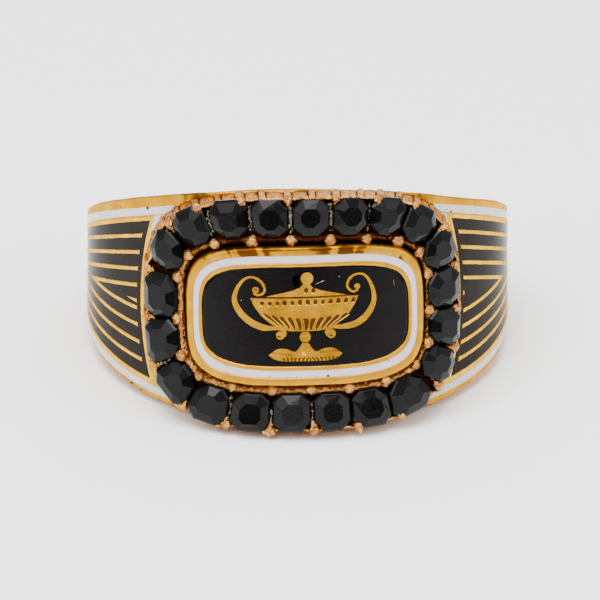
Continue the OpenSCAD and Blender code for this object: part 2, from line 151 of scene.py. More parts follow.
def line_z(side, y, k, e):
    return border_z(y) - k * (LINE_STEP[side] - LINE_FAN[side] * y) + e


def line_tip(side, k, e):
    low, high = -HOOP_R, HOOP_R - 0.1
    for _ in range(30):
        middle = (low + high) / 2
        if line_z(side, middle, k, e) > 0:
            low = middle
        else:
            high = middle
    return low


def upright(side, z, e):
    """Front edge of the field: an arc seen from the side, moved back by e."""
    return math.sqrt(max((BORDER_R + e) ** 2 - z * z, 0)) - BORDER_R - BORDER_FRONT[side]


def on_hoop(side, y, z, lift):
    r = HOOP_R + lift
    return Vector((side * math.sqrt(max(r * r - y * y, 0)), y, z - DROP[side]))


# Outlines of the head on its curved surface, squarer from the wall to the panel
def half_sizes(inset):
    """Half length, half height and squareness, that far inside the head's outline."""
    collar = min(max(inset - ROW_INSET, 0), TRAY_INSET - ROW_INSET)
    half_l = HEAD_L - inset + ROW_SWELL * min(max(inset, 0), ROW_INSET) - COLLAR_L * collar
    half_l += PANEL_L * max(inset - TRAY_INSET, 0)
    half_h = HEAD_H - inset - COLLAR_H * collar
    return half_l, half_h, HEAD_POWER + POWER_GAIN * max(inset, 0)


def aside(inset):
    """How far the panel, and the collar round it, sit to the right."""
    return PANEL_SHIFT * min(max((inset - SHIFT_FROM) / SHIFT_OVER, 0), 1)


def oval(bearing, inset):
    """Place on the outline at a bearing: along the head's curve, and up."""
    half_l, half_h, power = half_sizes(inset)
    c, s = math.cos(bearing - HEAD_TURN), math.sin(bearing - HEAD_TURN)
    r = ((abs(c) / half_l) ** power + (abs(s) / half_h) ** power) ** (-1 / power)
    return r * math.cos(bearing), r * math.sin(bearing)


def outward(bearing):
    """Way out of the head, square to the row of stones."""
    half_l, half_h, power = half_sizes(ROW_INSET)
    c, s = math.cos(bearing - HEAD_TURN), math.sin(bearing - HEAD_TURN)
    x = math.copysign(abs(c) ** (power - 1) / half_l**power, c)
    y = math.copysign(abs(s) ** (power - 1) / half_h**power, s)
    angle = HEAD_TURN + math.atan2(y, x)
    return Vector((math.cos(angle), math.sin(angle)))


def on_head(s, z, radius):
    x = GIRDLE_R * math.sin(s / GIRDLE_R)
    return Vector((x, -math.sqrt(radius * radius - x * x), z))


def on_panel(a, inset, radius, share=1.0):
    half_l, half_h, _ = half_sizes(inset)
    c, s = math.cos(a), math.sin(a)
    x = share * half_l * math.copysign(abs(c) ** (2 / PANEL_POWER), c)
    y = share * half_h * math.copysign(abs(s) ** (2 / PANEL_POWER), s)
    along = x * math.cos(HEAD_TURN) - y * math.sin(HEAD_TURN) + aside(inset)
    return on_head(along, x * math.sin(HEAD_TURN) + y * math.cos(HEAD_TURN), radius)


# Length along the head's outline, clockwise from its left end, against the bearing
TRACK_STEPS = 3600
track = [(0.0, math.pi)]
for i in range(1, TRACK_STEPS + 1):
    b0, b1 = track[-1][1], math.pi - 2 * math.pi * i / TRACK_STEPS
    p0, p1 = oval(b0, 0), oval(b1, 0)
    track.append((track[-1][0] + math.dist(p0, p1), b1))
track_lengths = [row[0] for row in track]
track_total = track_lengths[-1]


def bearing_at(length):
    length %= track_total
    i = min(max(bisect.bisect_right(track_lengths, length), 1), len(track) - 1)
    (l0, b0), (l1, b1) = track[i - 1], track[i]
    return b0 + (b1 - b0) * (length - l0) / (l1 - l0)


def length_at(degrees):
    b = math.radians(degrees)
    while b > math.pi:
        b -= 2 * math.pi
    while b <= -math.pi:
        b += 2 * math.pi
    return track_lengths[min(int((math.pi - b) / (2 * math.pi) * TRACK_STEPS), TRACK_STEPS)]


def next_stone(i):
    return STONES[i + 1][0] if i + 1 < len(STONES) else STONES[0][0] - 360


def between(i):
    """Bearing of the gap after stone i."""
    return (STONES[i][0] + next_stone(i)) / 2


def stone_width(i):
    b = math.radians(STONES[i][0])
    return STONES[i][1] / 100 * (HEAD_L * math.sin(b) ** 2 + HEAD_H * math.cos(b) ** 2)


def hand(t, seed, amount, pitch):
    """Error of an unsteady hand: smooth, up to that amount, and changing over that pitch."""
    return amount * noise.noise(Vector((t / pitch, 7.3 * seed, 0.4)))


# Making of pieces
def laid(name, bm, material, smooth=True):
    """Finishes a piece: laid on its side, in metres, riding on the ring."""
    bmesh.ops.recalc_face_normals(bm, faces=bm.faces)
    bmesh.ops.transform(bm, matrix=lay_down @ Matrix.Scale(MM, 4), verts=bm.verts)
    mesh = bpy.data.meshes.new(name)
    bm.to_mesh(mesh)
    bm.free()
    mesh.polygons.foreach_set("use_smooth", [smooth] * len(mesh.polygons))
    mesh.materials.append(material)
    piece = bpy.data.objects.new(name, mesh)
    bpy.context.scene.collection.objects.link(piece)
    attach(piece, "root")
    return piece


def sheet_of(bm, along, across, place):
    """A grid bent to place(u, v), u and v from 0 to 1."""
    for v in bmesh.ops.create_grid(bm, x_segments=along, y_segments=across, size=0.5)["verts"]:
        v.co = place(v.co.x + 0.5, v.co.y + 0.5)


def paint_stain_and_shade(bm, amount):
    """Paints a piece's stains and painted shade: amount(place) from 0, clean, to 1."""
    layer = bm.verts.layers.float.new("stain_and_shade")
    for v in bm.verts:
        v[layer] = amount(v.co)


def crowded(v):
    """Moves rows towards the two edges of a band, where it rounds over."""
    w = 2 * v - 1
    return w * (1.5 - 0.5 * w * w)


def rounded(w, top, sink):
    """Height across a band: flat at the top, and sunk at both edges."""
    return top - (top + sink) * abs(w) ** 8


def backed(bm, thick=0.03):
    """Closes a sheet with a back nearer the finger."""
    made = bmesh.ops.extrude_face_region(bm, geom=bm.faces[:], use_keep_orig=True)["geom"]
    for v in made:
        if isinstance(v, bmesh.types.BMVert):
            share = 1 - thick / math.hypot(v.co.x, v.co.y)
            v.co = Vector((v.co.x * share, v.co.y * share, v.co.z))


# Shader helpers
def put(tree, kind, inputs=None, **settings):
    node = tree.nodes.new(kind)
    for key, value in settings.items():
        setattr(node, key, value)
    for key, value in (inputs or {}).items():
        if isinstance(value, bpy.types.NodeSocket):
            tree.links.new(value, node.inputs[key])
        else:
            node.inputs[key].default_value = value
    return node


def maths(tree, operation, *values):
    return put(tree, "ShaderNodeMath", dict(enumerate(values)), operation=operation).outputs[0]


def vector_maths(tree, operation, inputs, result="Vector"):
    return put(tree, "ShaderNodeVectorMath", inputs, operation=operation).outputs[result]


def mapped(tree, value, start, end, low=0, high=1, smooth=False):
    """A value from start to end, mapped to low to high."""
    limits = {"Value": value, "From Min": start, "From Max": end, "To Min": low, "To Max": high}
    kind = "SMOOTHSTEP" if smooth else "LINEAR"
    return put(tree, "ShaderNodeMapRange", limits, interpolation_type=kind).outputs["Result"]


def object_place(tree):
    return put(tree, "ShaderNodeTexCoord").outputs["Object"]


def ramp(tree, fac, stops):
    node = put(tree, "ShaderNodeValToRGB", {"Fac": fac})
    while len(node.color_ramp.elements) < len(stops):
        node.color_ramp.elements.new(0.5)
    for element, (place, colour) in zip(node.color_ramp.elements, stops):
        element.position = place
        element.color = (*colour, 1)
    return node.outputs["Color"]


def group_tree(name, inputs, outputs):
    tree = bpy.data.node_groups.new(name, "ShaderNodeTree")
    for label, kind, value in inputs:
        socket = tree.interface.new_socket(label, in_out="INPUT", socket_type=kind)
        socket.default_value = value
    for label, kind in outputs:
        tree.interface.new_socket(label, in_out="OUTPUT", socket_type=kind)
    return tree, put(tree, "NodeGroupInput"), put(tree, "NodeGroupOutput")


FLOAT = "NodeSocketFloat"
VECTOR = "NodeSocketVector"
BUMP_HEIGHT = 0.05
SCRATCH_SHARE = 0.35
SPECK_GRAIN = 1.7
SPECK_REACH = 0.13
GRIME = (0.05, 0.028, 0.015)


def wear_group():
    """Rubbed metal: cloudy patches, fine scratches and small dents."""
    tree, enter, leave = group_tree(
        "rubbed surface",
        [("Size", FLOAT, 1.0), ("Depth", FLOAT, 0.02)],
        [("Clouds", FLOAT), ("Scratches", FLOAT), ("Normal", VECTOR)])
    sized = vector_maths(tree, "SCALE", {0: object_place(tree), "Scale": 1 / MM})
    scaled = vector_maths(tree, "SCALE", {0: sized, "Scale": enter.outputs["Size"]})
    clouds = put(tree, "ShaderNodeTexNoise", {"Vector": scaled, "Scale": 1.1, "Detail": 5, "Roughness": 0.62})
    stretched = put(
        tree, "ShaderNodeMapping", {"Vector": scaled, "Rotation": (0.5, 0.9, 0.3), "Scale": (1.5, 16, 16)})
    scratches = put(tree, "ShaderNodeTexNoise", {"Vector": stretched.outputs[0], "Scale": 1.6, "Detail": 3})
    dents = put(tree, "ShaderNodeTexNoise", {"Vector": scaled, "Scale": 7, "Detail": 4, "Roughness": 0.6})
    height = maths(tree, "MULTIPLY_ADD", scratches.outputs["Fac"], SCRATCH_SHARE, dents.outputs["Fac"])
    bump = put(
        tree, "ShaderNodeBump",
        {"Height": height, "Distance": BUMP_HEIGHT * MM, "Strength": enter.outputs["Depth"]})
    tree.links.new(clouds.outputs["Fac"], leave.inputs["Clouds"])
    tree.links.new(scratches.outputs["Fac"], leave.inputs["Scratches"])
    tree.links.new(bump.outputs["Normal"], leave.inputs["Normal"])
    return tree


WEAR = wear_group()


def place_group(tree, group, **inputs):
    node = put(tree, "ShaderNodeGroup", node_tree=group)
    for key, value in inputs.items():
        node.inputs[key].default_value = value
    return node


def new_material(name):
    material = bpy.data.materials.new(name)
    material.use_nodes = True
    tree = material.node_tree
    return material, tree, tree.nodes["Principled BSDF"]


def mixed_colour(tree, fac, a, b):
    node = put(tree, "ShaderNodeMix", data_type="RGBA")
    for key, value in ((0, fac), (6, a), (7, b)):
        if isinstance(value, bpy.types.NodeSocket):
            tree.links.new(value, node.inputs[key])
        else:
            node.inputs[key].default_value = value if key == 0 else (*value, 1)
    return node.outputs[2]


def painted(tree, noise_from, amount):
    """The piece's own attribute of stains and painted shade, its edge broken up by a noise."""
    stain_and_shade = put(tree, "ShaderNodeAttribute", attribute_name="stain_and_shade")
    uneven = maths(tree, "MULTIPLY_ADD", noise_from, amount, stain_and_shade.outputs["Fac"])
    return mapped(tree, uneven, 0.3 + amount / 2, 0.7 + amount / 2, smooth=True)


def gold(
        name, light, dark, stain_and_shade_colour, rough=0.4, depth=0.35, size=1.0, metallic=1.0, edge=(1, 0.82, 0.5)):
    """Gold, cloudy from rubbing, with dark stains and painted shade where the piece is painted for them."""
    material, tree, shader = new_material(name)
    wear = place_group(tree, WEAR, Size=size, Depth=depth)
    cloudy = ramp(tree, wear.outputs["Clouds"], [(0.36, dark), (0.64, light)])
    stain_and_shade = painted(tree, wear.outputs["Clouds"], 0.8)
    tree.links.new(mixed_colour(tree, stain_and_shade, cloudy, stain_and_shade_colour), shader.inputs["Base Color"])
    roughness = mapped(tree, wear.outputs["Clouds"], 0.3, 0.7, rough + 0.1, rough)
    tree.links.new(roughness, shader.inputs["Roughness"])
    tree.links.new(wear.outputs["Normal"], shader.inputs["Normal"])
    shader.inputs["Metallic"].default_value = metallic
    shader.inputs["Specular Tint"].default_value = (*edge, 1)
    return material


def enamel(name, base, cloud, speck, speck_share, rough=0.12, gloss=0.5, index=1.5):
    """Fired glass: cloudy, pitted with specks, and grimy where the piece is painted for it."""
    material, tree, shader = new_material(name)
    wear = place_group(tree, WEAR, Size=0.7, Depth=0.05)
    cloudy = ramp(tree, wear.outputs["Clouds"], [(0.3, cloud), (0.7, base)])
    grains = put(
        tree, "ShaderNodeTexVoronoi",
        {"Vector": object_place(tree), "Scale": SPECK_GRAIN / MM, "Randomness": 1.0})
    chance = put(tree, "ShaderNodeSeparateColor", {0: grains.outputs["Color"]})
    reach = mapped(tree, chance.outputs[0], 1 - speck_share, 1, 0, SPECK_REACH)
    near = maths(tree, "LESS_THAN", grains.outputs["Distance"], reach)
    specked = mixed_colour(tree, near, cloudy, speck)
    grime = painted(tree, wear.outputs["Scratches"], 0.5)
    tree.links.new(mixed_colour(tree, grime, specked, GRIME), shader.inputs["Base Color"])
    tree.links.new(wear.outputs["Normal"], shader.inputs["Normal"])
    roughness = mapped(tree, wear.outputs["Scratches"], 0.35, 0.75, rough, rough + 0.14)
    tree.links.new(roughness, shader.inputs["Roughness"])
    shader.inputs["Specular IOR Level"].default_value = gloss
    shader.inputs["IOR"].default_value = index
    return material


YELLOW = gold("worn yellow gold", (0.64, 0.32, 0.006), (0.48, 0.21, 0.003), (0.11, 0.035, 0.004))
LINE_GOLD = gold("inlaid gold lines", (0.82, 0.48, 0.035), (0.62, 0.33, 0.012), (0.11, 0.035, 0.004))
URN_GOLD = gold(
    "engraved gold", (0.52, 0.26, 0.008), (0.32, 0.14, 0.003), (0.1, 0.034, 0.005), rough=0.3, depth=0.9)
ROSE = gold(
    "rose gold", (0.76, 0.4, 0.11), (0.3, 0.1, 0.025), (0.07, 0.016, 0.005), rough=0.2, depth=1.0, size=2.6,
    edge=(1, 0.72, 0.46))
WHITE = enamel("white enamel", (0.6, 0.56, 0.57), (0.5, 0.465, 0.475), (0.1, 0.08, 0.08), 0.05)
# Its base colour is lifted a little: a painted sheen, in place of the reflections its low gloss leaves out.
BLACK = enamel(
    "black shoulder enamel", (0.018, 0.0155, 0.014), (0.024, 0.0205, 0.018), (0.05, 0.05, 0.05), 0.02,
    gloss=0.1, index=1.18)
PANEL_BLACK = enamel(
    "black panel enamel", (0.002, 0.0016, 0.0016), (0.0034, 0.0027, 0.0026), (0.2, 0.2, 0.22), 0.08,
    gloss=0.1)
JET = enamel(
    "black stone", (0.0015, 0.0015, 0.0015), (0.003, 0.003, 0.003), (0.03, 0.03, 0.03), 0.02,
    rough=0.04, gloss=0.13)
# Brown of the engraving's hollows: tarnish with painted shade.
HOLLOW = gold(
    "brown hollows", (0.1, 0.032, 0.005), (0.035, 0.01, 0.002), (0.03, 0.01, 0.002), rough=0.5, size=3,
    metallic=0.85)
# Painted highlights beside the engraving's hollows and on the urn's foot.
PAINTED_HIGHLIGHT_GOLD = gold("painted highlight gold", (0.88, 0.52, 0.06), (0.6, 0.3, 0.02), (0.3, 0.12, 0.02), rough=0.3)
WORN = enamel(
    "worn black", (0.0004, 0.0004, 0.0004), (0.0006, 0.0005, 0.0005), (0.01, 0.01, 0.01), 0.02, gloss=0.02)


def crust_material():
    material, tree, shader = new_material("yellow green crust")
    wear = place_group(tree, WEAR, Size=5.0, Depth=1.0)
    colour = ramp(
        tree, wear.outputs["Clouds"],
        [(0.38, (0.035, 0.03, 0.013)), (0.52, (0.16, 0.15, 0.08)), (0.68, (0.5, 0.47, 0.32))])
    tree.links.new(colour, shader.inputs["Base Color"])
    tree.links.new(wear.outputs["Normal"], shader.inputs["Normal"])
    shader.inputs["Roughness"].default_value = 0.85
    return material


CRUST = crust_material()


# Camera: above the ring's middle plane and a little to its left, with a long lens
CAMERA_RISE = math.radians(12.8)
CAMERA_TURN = math.radians(1.6)
CAMERA_ROLL = math.radians(-0.1)
CAMERA_FAR = 1250.0
PICTURE = 600
SCALE = 20.97
CENTRE = (297.5, 263.2)
to_camera = Vector((
    -math.sin(CAMERA_TURN) * math.cos(CAMERA_RISE),
    -math.cos(CAMERA_TURN) * math.cos(CAMERA_RISE),
    math.sin(CAMERA_RISE),
))
to_camera = (lay_down @ to_camera).normalized()
right = finger_axis.cross(to_camera).normalized()
up = to_camera.cross(right)
turned = Matrix.Rotation(-CAMERA_ROLL, 4, to_camera)
right, up = turned @ right, turned @ up
aim = (right * (PICTURE / 2 - CENTRE[0]) - up * (PICTURE / 2 - CENTRE[1])) * MM / SCALE
camera_data = bpy.data.cameras.new("camera")
camera_data.lens = camera_data.sensor_width * CAMERA_FAR * SCALE / PICTURE
camera_data.clip_start = 0.01
camera = bpy.data.objects.new("camera", camera_data)
camera.matrix_world = Matrix.Translation(aim + to_camera * CAMERA_FAR * MM) @ Matrix(
    (right, up, to_camera)).transposed().to_4x4()
bpy.context.scene.collection.objects.link(camera)
bpy.context.scene.camera = camera


# Hoop: rounding of its inner and outer edges, height of the edge zone that follows
# the taper, and the worn dip in its upper edge: bearing, spread and depth
INNER_ROUND = 0.3
OUTER_ROUND = 0.13
EDGE_ZONE = 0.45
HOOP_STEPS = 300
DIP_AT = 50
DIP_SPREAD = 15
DIP = 0.1
TARNISH_FROM = 6.2
TARNISH_OVER = 2.2


def hoop_stain(p):
    """Brown tarnish near the head, along the upper edge most of all, and none inside."""
    if math.hypot(p.x, p.y) < FINGER_R + 0.2:
        return 0
    near = min(max((-p.y - TARNISH_FROM) / TARNISH_OVER, 0), 1)
    clouds = noise.noise(p * 0.9) + 0.5 * noise.noise(p * 3.1)
    return near * (0.4 + 0.8 * clouds) * (1 if p.z > 0 else 0.7) + 0.25 * max(noise.noise(p * 0.6), 0)


def round_off(bm, corners, radius):
    bmesh.ops.bevel(
        bm, geom=corners, offset=radius, segments=5, affect="VERTICES", profile=0.5, material=-1)


def make_hoop():
    """The hoop's cross section, rounded off, spun round the finger and stretched to its taper."""
    bm = bmesh.new()
    bmesh.ops.create_grid(bm, x_segments=1, y_segments=1, size=0.5)
    for v in bm.verts:
        v.co = Vector((FINGER_R + (v.co.x + 0.5) * (HOOP_R - FINGER_R), 0, 2 * BACK_HALF * v.co.y))
    round_off(bm, [v for v in bm.verts if v.co.x < FINGER_R + 0.1], INNER_ROUND)
    round_off(bm, [v for v in bm.verts if v.co.x > HOOP_R - 0.01], OUTER_ROUND)
    bmesh.ops.delete(bm, geom=bm.faces[:], context="FACES_ONLY")
    uprights = [e for e in bm.edges if abs(e.verts[0].co.z - e.verts[1].co.z) > 1]
    bmesh.ops.subdivide_edges(bm, edges=uprights, cuts=5)
    bmesh.ops.spin(
        bm, geom=bm.verts[:] + bm.edges[:], cent=(0, 0, 0), axis=(0, 0, 1), angle=2 * math.pi,
        steps=HOOP_STEPS, use_merge=True)
    bmesh.ops.remove_doubles(bm, verts=bm.verts, dist=0.001)
    for v in bm.verts:
        half = half_height(v.co.y)
        turn = math.atan2(v.co.x, -v.co.y)
        if abs(v.co.z) > BACK_HALF - EDGE_ZONE:
            v.co.z = math.copysign(half - BACK_HALF + abs(v.co.z), v.co.z)
            v.co.z += hand(turn * 10, 3 if v.co.z > 0 else 4, 0.03, 1.3)
            if v.co.z > 0:
                v.co.z -= DIP * math.exp(-(((math.degrees(turn) - DIP_AT) / DIP_SPREAD) ** 2))
        else:
            v.co.z *= (half - EDGE_ZONE) / (BACK_HALF - EDGE_ZONE)
    paint_stain_and_shade(bm, hoop_stain)
    piece = laid("hoop_gold", bm, YELLOW)
    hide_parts("hoop")


# Shoulders: height of each part above the hoop, depth of the edges below it, how far
# a cut strays and over how many steps, and the overlap of the white under its neighbours
LINE_RISE = 0.03
BORDER_RISE = 0.034
BLACK_RISE = 0.014
WHITE_RISE = 0.016
CORNER_RISE = 0.015
EDGE_SINK = 0.02
WHITE_SINK = 0.03
STRAY = 0.02
STRAY_PITCH = 0.5
WHITE_LAP = 0.01


def band(bm, curve, along, half_width, top, sink, seed):
    """A strip on the shoulder: curve(t, e, lift), with both edges cut by an unsteady hand."""
    def place(u, v):
        w = crowded(v)
        edge = hand(u * along, seed if w > 0 else seed + 0.5, STRAY, STRAY_PITCH) * abs(w)
        return curve(u, w * half_width + edge, rounded(w, top, sink))
    sheet_of(bm, along, 8, place)


def chevron(side, k, front):
    """The two arms of line k from their front ends, at front(z), round the tip, moved outwards by e."""
    def curve(t, e, lift):
        q = 1 - 2 * t
        tip = line_tip(side, k, e)
        y = front(0.0)
        for _ in range(3):
            y = front(line_z(side, y, k, e))
        y = tip + (y - tip) * abs(q)
        return on_hoop(side, y, math.copysign(line_z(side, y, k, e), q), lift)
    return curve


# Pits in the enamel of the shoulders: side, place front to back, height and size
PITS = [
    (-1, -6.86, 4.4, 0.07), (-1, -3.75, -1.0, 0.07), (-1, -5.97, -4.29, 0.06), (-1, -5.2, 4.1, 0.03),
    (-1, -7.9, 4.2, 0.03), (-1, -4.4, 3.75, 0.025), (-1, -6.5, -4.5, 0.04), (1, -7.08, 4.17, 0.05),
    (1, -6.44, 4.1, 0.03), (1, -7.3, 4.3, 0.03), (1, -5.1, 3.9, 0.025), (1, -6.0, -4.4, 0.035),
]
PIT_RISE = 0.012


def make_pits():
    bm = bmesh.new()
    for side, y, z, size in PITS:
        for v in bmesh.ops.create_uvsphere(bm, u_segments=12, v_segments=8, radius=1)["verts"]:
            grow = size * (1 + 0.4 * noise.noise(v.co * 2 + Vector((y, z, 0))))
            v.co = on_hoop(side, y + v.co.x * grow, z + v.co.y * grow, PIT_RISE * (1 + v.co.z))
    laid("pits_in_enamel", bm, BLACK)


def make_shoulder(side, word):
    seed = 10 * (side + 2)
    lines = bmesh.new()

    def line_front(z):
        return upright(side, z, BORDER / 2 + LINE_GAP)
    for k in (1, 2, 3, 4):
        band(lines, chevron(side, k, line_front), 220 - 40 * k, LINE / 2, LINE_RISE, EDGE_SINK, seed + k)
    border = chevron(side, 0, lambda z: upright(side, z, 0))
    band(lines, border, 240, BORDER / 2, BORDER_RISE, EDGE_SINK, seed + 5)
    top_z = border_z(-BORDER_FRONT[side] - 0.6) + BORDER / 2

    def front_arc(t, e, lift):
        z = top_z * (2 * t - 1)
        return on_hoop(side, upright(side, z, e), z, lift)
    band(lines, front_arc, 90, UPRIGHT[side] / 2, LINE_RISE, EDGE_SINK, seed + 6)

    def tick(t, e, lift):
        """A slip of the graver: a short point on the left, and a small hook on the right."""
        y = line_front(0)
        if side < 0:
            return on_hoop(side, y + 0.6 * t, -0.22 + 0.1 * t + e * (1 - t) ** 0.8, lift)
        return on_hoop(side, y + e * 0.3 + 0.16 * max(2 * t - 1, 0), 0.16 - 0.2 * min(2 * t, 1), lift)
    band(lines, tick, 14, LINE / 2, LINE_RISE, EDGE_SINK, seed + 7)
    backed(lines)
    laid("gold_lines_" + word, lines, LINE_GOLD)

    field = bmesh.new()

    def black(u, v):
        y = -BORDER_FRONT[side]
        for _ in range(4):
            y = upright(side, (2 * v - 1) * border_z(y), 0) * (1 - u) + line_tip(side, 0, 0) * u
        return on_hoop(side, y, (2 * v - 1) * border_z(y), BLACK_RISE)
    sheet_of(field, 90, 40, black)
    backed(field)
    piece = laid("black_field_" + word, field, BLACK)
    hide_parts("black_enamel_" + word)

    stripe = bmesh.new()
    middle = BORDER / 2 + STRIPE / 2

    def white(t, e, lift):
        return chevron(side, 0, lambda z: -STRIPE_FRONT)(t, e + middle, lift)
    band(stripe, white, 260, STRIPE / 2 + WHITE_LAP, WHITE_RISE, WHITE_SINK, seed + 8)

    def corner(u, v):
        z = CORNER_Z
        for _ in range(3):
            y = -STRIPE_FRONT + (upright(side, z, 0) + STRIPE_FRONT) * u
            z = CORNER_Z + (border_z(y) + 0.1 - CORNER_Z) * v
        return on_hoop(side, y, z, CORNER_RISE)
    sheet_of(stripe, 20, 30, corner)
    paint_stain_and_shade(stripe, lambda p: max(-p.y - 7.2, 0) * (0.45 + 0.9 * noise.noise(p * 2.3)))
    backed(stripe)
    piece = laid("white_stripe_" + word, stripe, WHITE)
    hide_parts("white_enamel_" + word)


# Setting: rows of its cross section from the hoop over the wall's lip to the groove
# round the panel: inset, radius, share of the file cuts, roughness, and stain with painted shade, darkest in
# the groove.
SETTING_ROWS = [
    (2.32, 9.97, 0, 0, 1), (0, 9.97, 1, 0, 0.6), (0, 10.2, 1, 0.01, 0.3), (0, 10.45, 1, 0.01, 0.2),
    (0, 10.7, 1, 0.01, 0.15), (0, 10.9, 1, 0.012, 0.1), (0, 11.02, 1, 0.012, 0), (0, 11.12, 1, 0.015, 0),
    (0.005, 11.2, 0.9, 0.02, 0), (0.02, 11.25, 0.7, 0.02, 0), (0.05, 11.275, 0.4, 0.03, 0),
    (0.09, 11.275, 0.2, 0.045, 0), (0.12, 11.24, 0.2, 0.05, 0.2), (0.14, 11.15, 0.1, 0.05, 0.5),
    (0.16, 11.0, 0, 0.04, 0.9), (0.22, 10.86, 0, 0.02, 1), (0.9, 10.75, 0, 0.02, 1), (1.6, 10.8, 0, 0.03, 1),
    (1.76, 10.95, 0, 0.06, 0.7), (1.83, 11.08, 0, 0.08, 0.4), (1.9, 11.15, 0, 0.1, 0.2),
    (1.97, 11.17, 0, 0.1, 0.1),
    (2.03, 11.15, 0, 0.1, 0.15), (2.08, 11.1, 0, 0.1, 0.2), (2.12, 11.04, 0, 0.09, 0.25),
    (2.16, 10.97, 0, 0.08, 0.35), (2.2, 10.9, 0, 0.05, 0.5), (2.24, 10.84, 0, 0.02, 0.6),
    (2.32, 10.8, 0, 0, 0.7), (2.32, 9.97, 0, 0, 1),
]
# Filed wall: posts under the claws and between them, how far they stand out and swell,
# and the cuts between: half width of rim and floor, depth and spread
CLAW_HALF = 0.19
CLAW_PROUD = 0.05
POST_HALF = 0.17
POST_PROUD = 0.045
SWELL = 0.035
CUT_RIM = 0.03
CUT_FLOOR = 0.012
CUT_DEPTH = 0.07
CUT_SPREAD = 0.022
COLUMN_STEP = 0.07
# Where the wall is cut back between the claws: from below this sine of the bearing,
# over that much of it, by how much, how much more at the ends, and off the top
BACK_BELOW = 0.92
BACK_OVER = 0.2
BACK_CUT = 0.1
BACK_AT_ENDS = 0.06
BACK_OFF_TOP = 0.12


def cut_places():
    """Starts of the filed wall's segments round the head, and how far each stands out."""
    posts = [(length_at(between(i)), CLAW_HALF, CLAW_PROUD) for i in range(len(STONES))]
    posts += [(length_at(STONES[i][0]), POST_HALF, POST_PROUD) for i in range(len(STONES))]
    posts.sort()
    edges = []
    for middle, half, proud in posts:
        edges.append((middle - half * random.uniform(0.85, 1.2), proud))
        edges.append((middle + half * random.uniform(0.85, 1.2), 0.0))
    return edges


def make_setting():
    edges = cut_places()
    starts = [e[0] for e in edges]
    columns = []
    for n, (start, proud) in enumerate(edges):
        end = starts[n + 1] if n + 1 < len(edges) else starts[0] + track_total
        columns += [start - CUT_RIM, start - CUT_FLOOR, start + CUT_FLOOR, start + CUT_RIM]
        inside = max(int((end - start) / COLUMN_STEP), 3)
        columns += [start + 0.05 + (end - start - 0.1) * (j + 0.5) / inside for j in range(inside)]
    columns.sort()
    columns.append(columns[0] + track_total)

    def bulge(length):
        """How far the wall stands out there, less the cut at each end of a segment."""
        n = bisect.bisect_right(starts, length) - 1
        start, proud = edges[n]
        end = starts[n + 1] if 0 <= n < len(edges) - 1 else starts[0] + track_total
        if n < 0:
            start -= track_total
            end = starts[0]
        t = (length - start) / (end - start)
        near = min(length - start, end - length)
        return proud + SWELL * (1 - (2 * t - 1) ** 2) - CUT_DEPTH * math.exp(-((near / CUT_SPREAD) ** 2))

    claws = [length_at(between(i)) for i in range(len(STONES))]

    def claw_away(length):
        """Distance to the nearest claw."""
        return min(abs((length - c + track_total / 2) % track_total - track_total / 2) for c in claws)

    rows = len(SETTING_ROWS) - 1
    bm = bmesh.new()
    layer = bm.verts.layers.float.new("stain_and_shade")
    for v in bmesh.ops.create_grid(bm, x_segments=len(columns) - 1, y_segments=rows, size=0.5)["verts"]:
        length = columns[round((v.co.x + 0.5) * (len(columns) - 1))]
        inset, radius, share, rough, stain_and_shade = SETTING_ROWS[round((v.co.y + 0.5) * rows)]
        lump = noise.noise(Vector((length * 4.5, radius * 5, inset * 6)))
        fine = noise.noise(Vector((length * 11, radius * 9, inset * 12 + 5)))
        stands_out = bulge(length % track_total)
        bearing = bearing_at(length)
        upwards = math.sin(bearing)
        # Tarnish in lumps, with painted shade from the rows and in the file cuts between the posts.
        v[layer] = stain_and_shade + share * (0.9 * max(0, 0.03 - stands_out) / 0.08) + 2 * rough * lump
        # Painted shade on the upper side of the wall, mottled.
        if share > 0.5 and upwards > 0.8:
            v[layer] += 0.12 + 0.4 * lump
        # Painted shade over the upper half of the collar.
        if inset > 1.5:
            v[layer] += 0.75 * max(upwards, 0)
        inset = inset - share * stands_out + rough * (0.5 * lump + 0.4 * fine)
        below = min(max((BACK_BELOW - upwards) / BACK_OVER, 0), 1)
        if inset < 0.3:
            between_claws = min(max((claw_away(length) - 0.15) / 0.25, 0), 1)
            back = BACK_CUT + BACK_AT_ENDS * max(-math.cos(bearing), 0)
            inset += below * between_claws * back * min(radius - 9.9, 1)
            if radius > 11.1:
                radius -= BACK_OFF_TOP * between_claws * below
        s, z = oval(bearing, inset)
        v.co = on_head(s + aside(inset), z, radius + rough * (0.9 * lump + 0.6 * fine))
    bmesh.ops.remove_doubles(bm, verts=bm.verts, dist=0.0005)
    piece = laid("filed_setting", bm, ROSE)
    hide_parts("setting")


def bead_place(bearing):
    s, z = oval(bearing, ROW_INSET)
    n = outward(bearing)
    return s - BEAD_END * n.x, z - BEAD_SIDE * n.y


def bead(bm, place, n, radius, size, lump, seed, steps=(16, 10)):
    """A lumpy bead on the head: size along the row, across it and outwards."""
    s, z = place
    for v in bmesh.ops.create_uvsphere(bm, u_segments=steps[0], v_segments=steps[1], radius=1)["verts"]:
        grow = 1 + lump * noise.noise(v.co * 1.7 + Vector((seed, 2 * seed, 0)))
        a, b, c = v.co.x * size[0] * grow, v.co.y * size[1] * grow, v.co.z * size[2] * grow
        v.co = on_head(s - n.y * a + n.x * b, z + n.x * a + n.y * b, radius + c)


# Outer claws that stand aside from the gap they close: stone before it, and millimetres
CLAW_ASIDE = {14: 0.22, 15: 0.36, 16: 0.28, 19: 0.2, 20: -0.35, 7: -0.15, 8: -0.15}
# Small beads of a claw and of the collar: half sizes along the row, across it and outwards
TIP = (0.09, 0.16, 0.1)
FOOT = (0.1, 0.1, 0.3)
FOOT_ASIDE = 0.13
KNOB = (0.13, 0.12, 0.15)
COLLAR_BEAD = (0.14, 0.12, 0.16)
SMALL = (12, 8)


